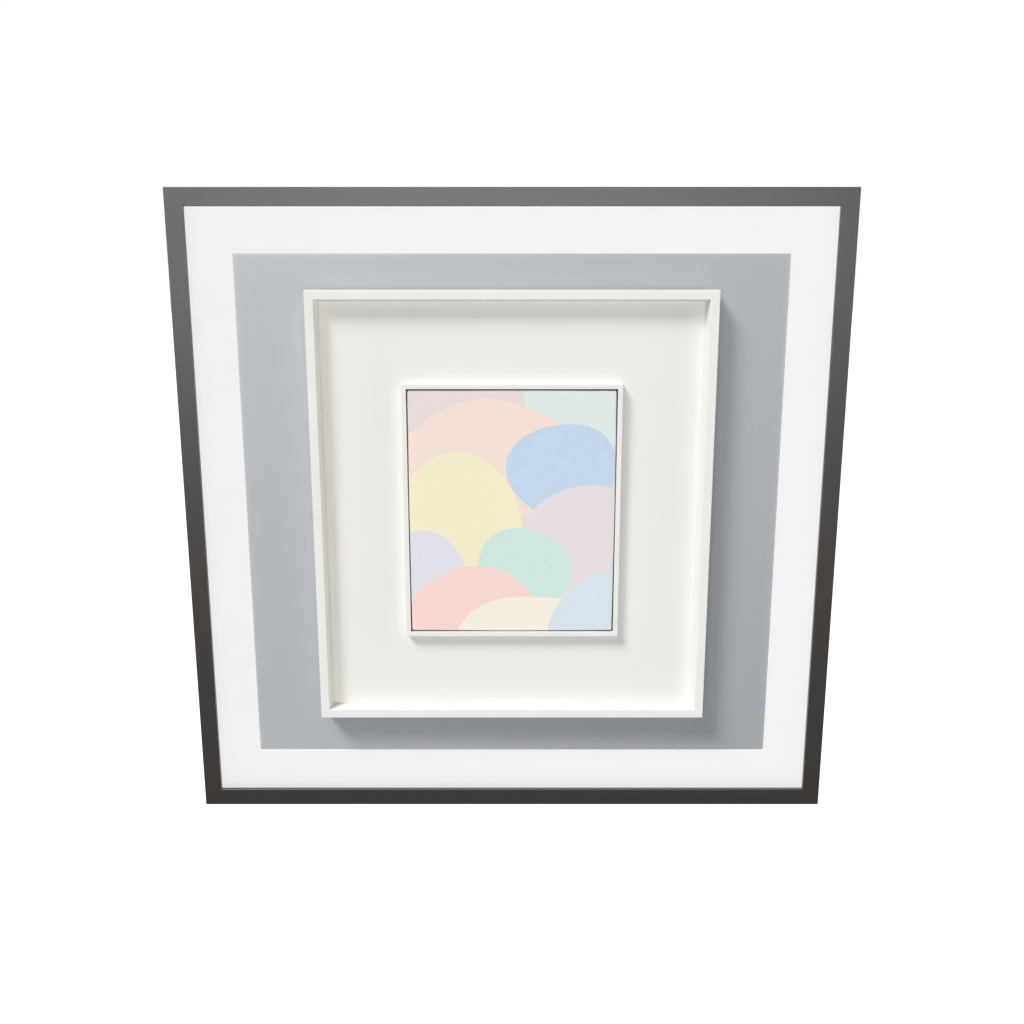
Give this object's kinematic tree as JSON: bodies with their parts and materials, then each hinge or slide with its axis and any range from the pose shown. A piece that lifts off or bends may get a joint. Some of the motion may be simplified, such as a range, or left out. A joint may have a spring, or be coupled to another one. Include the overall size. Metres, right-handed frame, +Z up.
{
  "type": "floating frame",
  "caption": "Wall-hung floating frame: a dark box moulding and white mat round a grey ground, with a proud white tray that holds a small framed canvas",
  "frame": {"origin": "on the wall plane, at the middle of the outer frame, which is the middle of the cross brace's back face", "axes": "+Z up, +X to the right seen from the front, +Y into the wall, so the picture faces -Y"},
  "size_m": [0.75, 0.0594, 0.727],
  "materials": {
    "dark_stained_wood": "dark brown stain under a satin clear coat, with a fine close grain",
    "bare_wood": "planed softwood, unfinished",
    "white_painted_wood": "warm white eggshell paint over close-grained wood",
    "white_mat_board": "smooth white mat board, its window cut square",
    "grey_ground": "cool grey eggshell paint, sprayed, a little lighter at the upper left",
    "white_panel": "white painted panel, very light tooth",
    "hardboard": "brown hardboard, smooth face",
    "dark_card": "dark brown card",
    "painted_canvas": "primed cotton canvas with flat pastel paint",
    "zinc_screws": "zinc plated steel",
    "zinc_hangers": "zinc plated steel strap and wire",
    "brass_hardware": "brass plated steel, satin"
  },
  "bodies": {
    "frame": {"back_board_lower": "hardboard", "back_board_upper": "hardboard", "brace_screw_left": "zinc_screws", "brace_screw_right": "zinc_screws", "canvas": "painted_canvas", "corner_nail_bottom_left": "zinc_screws", "corner_nail_bottom_right": "zinc_screws", "corner_nail_top_left": "zinc_screws", "corner_nail_top_right": "zinc_screws", "cross_brace": "bare_wood", "d_ring_screw_left": "zinc_screws", "d_ring_screw_right": "zinc_screws", "d_ring_strap_left": "zinc_hangers", "d_ring_strap_right": "zinc_hangers", "ground_board": "grey_ground", "liner_card": "dark_card", "outer_rail_bottom": "dark_stained_wood", "outer_rail_left": "dark_stained_wood", "outer_rail_right": "dark_stained_wood", "outer_rail_top": "dark_stained_wood", "picture_screw_lower": "zinc_screws", "picture_screw_upper": "zinc_screws", "strainer_bottom": "bare_wood", "strainer_left": "bare_wood", "strainer_right": "bare_wood", "strainer_screw_bottom": "zinc_screws", "strainer_screw_left": "zinc_screws", "strainer_screw_right": "zinc_screws", "strainer_screw_top": "zinc_screws", "strainer_top": "bare_wood", "stretcher_bar_bottom": "bare_wood", "stretcher_bar_left": "bare_wood", "stretcher_bar_right": "bare_wood", "stretcher_bar_top": "bare_wood", "strip_rail_bottom": "white_painted_wood", "strip_rail_left": "white_painted_wood", "strip_rail_right": "white_painted_wood", "strip_rail_top": "white_painted_wood", "tray_batten_lower": "bare_wood", "tray_batten_upper": "bare_wood", "tray_panel": "white_panel", "tray_rail_bottom": "white_painted_wood", "tray_rail_left": "white_painted_wood", "tray_rail_right": "white_painted_wood", "tray_rail_top": "white_painted_wood", "tray_screw_lower_left": "zinc_screws", "tray_screw_lower_right": "zinc_screws", "tray_screw_upper_left": "zinc_screws", "tray_screw_upper_right": "zinc_screws", "turn_button_screw_lower_left": "brass_hardware", "turn_button_screw_lower_right": "brass_hardware", "turn_button_screw_upper_left": "brass_hardware", "turn_button_screw_upper_right": "brass_hardware", "window_mat": "white_mat_board"},
    "button_upper_left": {"turn_button_upper_left": "brass_hardware"},
    "button_upper_right": {"turn_button_upper_right": "brass_hardware"},
    "button_lower_left": {"turn_button_lower_left": "brass_hardware"},
    "button_lower_right": {"turn_button_lower_right": "brass_hardware"},
    "ring_left": {"d_ring_left": "zinc_hangers"},
    "ring_right": {"d_ring_right": "zinc_hangers"}
  },
  "joints": [
    {"name": "button_upper_left_turn", "type": "hinge", "parent": "frame", "child": "button_upper_left", "pos_m": [-0.2, -0.0057, 0.342], "axis": [0, 1, 0], "range_deg": [-90, 90]},
    {"name": "button_upper_right_turn", "type": "hinge", "parent": "frame", "child": "button_upper_right", "pos_m": [0.2, -0.0057, 0.342], "axis": [0, 1, 0], "range_deg": [-90, 90]},
    {"name": "button_lower_left_turn", "type": "hinge", "parent": "frame", "child": "button_lower_left", "pos_m": [-0.2, -0.0057, -0.342], "axis": [0, 1, 0], "range_deg": [-90, 90]},
    {"name": "button_lower_right_turn", "type": "hinge", "parent": "frame", "child": "button_lower_right", "pos_m": [0.2, -0.0057, -0.342], "axis": [0, 1, 0], "range_deg": [-90, 90]},
    {"name": "ring_left_swing", "type": "hinge", "parent": "frame", "child": "ring_left", "pos_m": [-0.353, -0.004, 0.17], "axis": [1, 0, 0], "range_deg": [0, 180]},
    {"name": "ring_right_swing", "type": "hinge", "parent": "frame", "child": "ring_right", "pos_m": [0.353, -0.004, 0.17], "axis": [1, 0, 0], "range_deg": [0, 180]}
  ]
}
